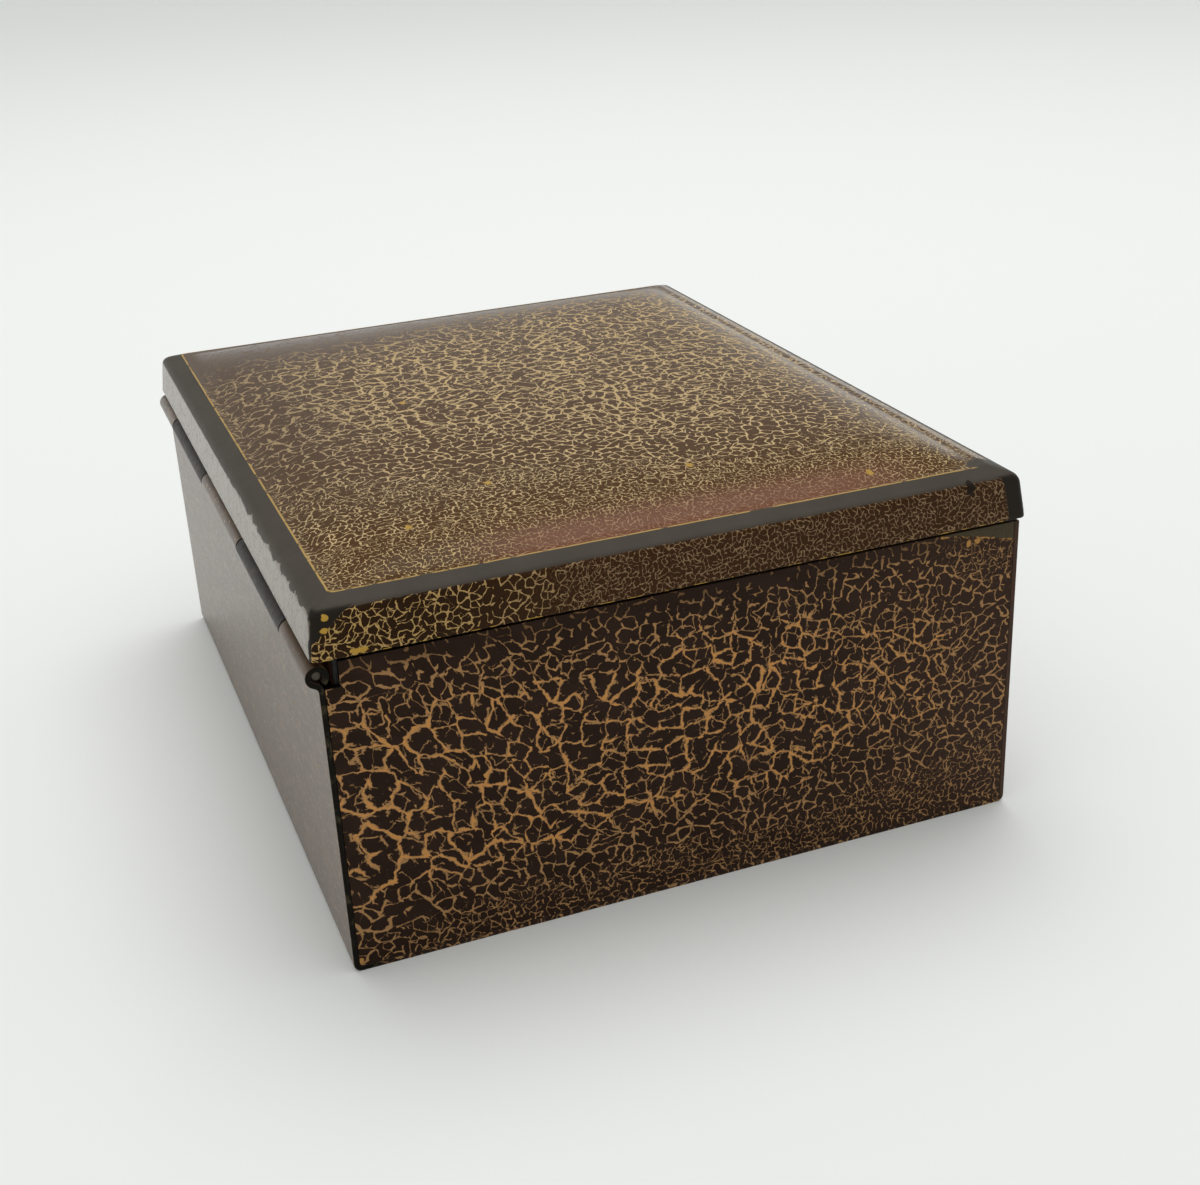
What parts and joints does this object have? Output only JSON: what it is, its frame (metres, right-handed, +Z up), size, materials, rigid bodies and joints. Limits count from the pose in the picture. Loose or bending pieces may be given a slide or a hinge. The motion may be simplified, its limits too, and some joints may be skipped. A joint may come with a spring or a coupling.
{
  "type": "trinket box",
  "caption": "Low rectangular hinged box in crackled lacquer, with a domed lid on a rolled pin hinge and a thin cedar lining, for keeping small things.",
  "frame": {"origin": "middle of the underside, on the surface that the box stands on", "axes": "+Z up; +X along the hinge; +Y towards the hinge side, so the lid opens at -Y"},
  "size_m": [0.1032, 0.0849, 0.0463],
  "materials": {
    "body_lacquer": "near-black brown crackle lacquer over ochre, semi-gloss",
    "lid_lacquer": "brown crackle lacquer over gold, semi-gloss, with a dark plain border",
    "dark_lacquer": "dark lacquer, worn satin",
    "hinge_wire": "dull darkened wire",
    "cedar": "bare planed cedar"
  },
  "bodies": {
    "box": {"body_wrap": "body_lacquer", "side_plate_left": "body_lacquer", "side_plate_right": "body_lacquer", "hinge_pin": "hinge_wire", "liner_floor": "cedar", "liner_front": "cedar", "liner_back": "cedar", "liner_left": "cedar", "liner_right": "cedar"},
    "lid": {"lid_shell": "lid_lacquer", "lid_hinge_leaf": "dark_lacquer"}
  },
  "joints": [
    {"name": "lid_hinge", "type": "hinge", "parent": "box", "child": "lid", "pos_m": [0, 0.0415, 0.03628], "axis": [-1, 0, 0], "range_deg": [0, 150]}
  ]
}
